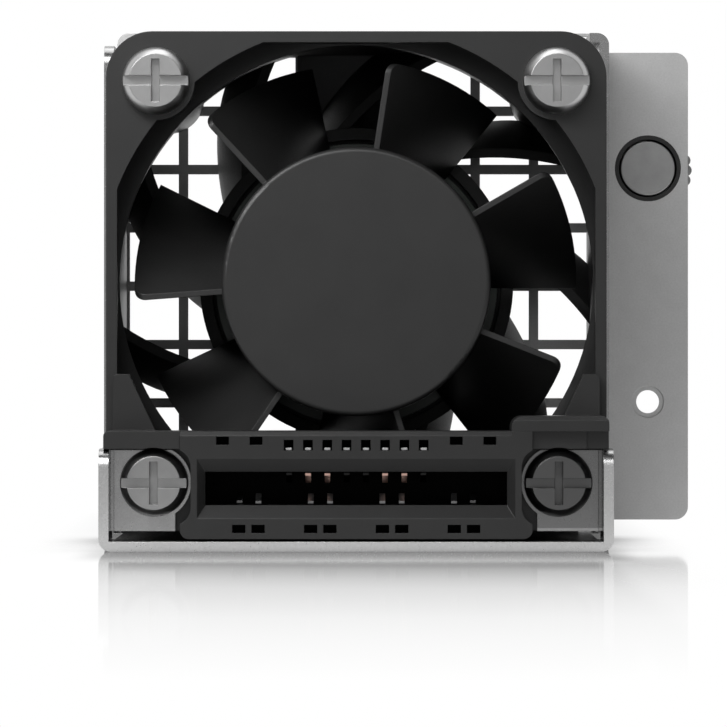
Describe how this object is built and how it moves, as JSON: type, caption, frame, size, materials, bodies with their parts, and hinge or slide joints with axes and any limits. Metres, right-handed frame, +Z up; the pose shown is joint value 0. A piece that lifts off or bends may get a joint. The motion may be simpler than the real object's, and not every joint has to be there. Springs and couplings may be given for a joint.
{
  "type": "server fan module",
  "caption": "Hot-swap server fan module: axial fan on a sheet-metal tray with a plug-in connector at one end and a perforated face panel with a captive thumbscrew at the other.",
  "frame": {"origin": "underside of the tray, below the fan's axis, in the plane of the fan's intake face", "axes": "+X to the flange side, +Y along the air flow from the connector to the face panel, +Z up"},
  "size_m": [0.0496, 0.048, 0.0428],
  "materials": {
    "tray_steel": "satin zinc-plated sheet",
    "panel_steel": "satin zinc-plated sheet",
    "frame_plastic": "satin black glass-filled plastic",
    "impeller_plastic": "satin black plastic",
    "carrier_plastic": "satin black plastic",
    "insulator_plastic": "matt",
    "plain_steel": "zinc-plated",
    "bearing_steel": "polished",
    "spring_steel": "drawn wire",
    "screw_steel": "nickel-plated",
    "knob_metal": "satin turned",
    "black_metal": "black oxide",
    "magnet": "matt ferrite",
    "brass": "turned",
    "copper": "enamelled or plated copper",
    "contact_silver": "tin-plated",
    "board": "solder mask"
  },
  "bodies": {
    "module": {"base_tray": "tray_steel", "face_panel": "panel_steel", "fan_frame": "frame_plastic", "vane_ring": "frame_plastic", "bearing_tube": "brass", "bearing_outer_races": "bearing_steel", "bearing_shields": "plain_steel", "bearing_balls": "bearing_steel", "preload_spring": "spring_steel", "stator_core": "plain_steel", "stator_insulators": "insulator_plastic", "coil_windings": "copper", "motor_board": "board", "board_parts": "frame_plastic", "upper_screws": "screw_steel", "lower_screws": "screw_steel", "clinch_nuts": "plain_steel", "connector_carrier": "carrier_plastic", "connector_housing": "carrier_plastic", "upper_contacts": "copper", "lower_contacts": "contact_silver", "thumbscrew_ferrule": "black_metal", "thumbscrew_spring": "spring_steel"},
    "rotor": {"impeller": "impeller_plastic", "rotor_yoke": "plain_steel", "rotor_magnet": "magnet", "shaft_bush": "brass", "rotor_shaft": "bearing_steel", "shaft_clip": "plain_steel", "bearing_inner_races": "bearing_steel"},
    "thumbscrew_slider": {"thumbscrew_washer": "plain_steel"},
    "thumbscrew": {"thumbscrew_knob": "knob_metal", "thumbscrew_shank": "knob_metal"}
  },
  "joints": [
    {"name": "rotor_spin", "type": "hinge", "parent": "module", "child": "rotor", "pos_m": [0, 0.012, 0.0214], "axis": [0, -1, 0], "continuous": true},
    {"name": "thumbscrew_slide", "type": "slide", "parent": "module", "child": "thumbscrew_slider", "axis": [0, -1, 0], "range_m": [0, 0.0038], "stiffness_N_per_m": 250, "springref_m": -0.004, "deforming": ["thumbscrew_spring"]},
    {"name": "thumbscrew_turn", "type": "hinge", "parent": "thumbscrew_slider", "child": "thumbscrew", "pos_m": [0.0247, 0.035, 0.0314], "axis": [0, -1, 0], "continuous": true}
  ]
}
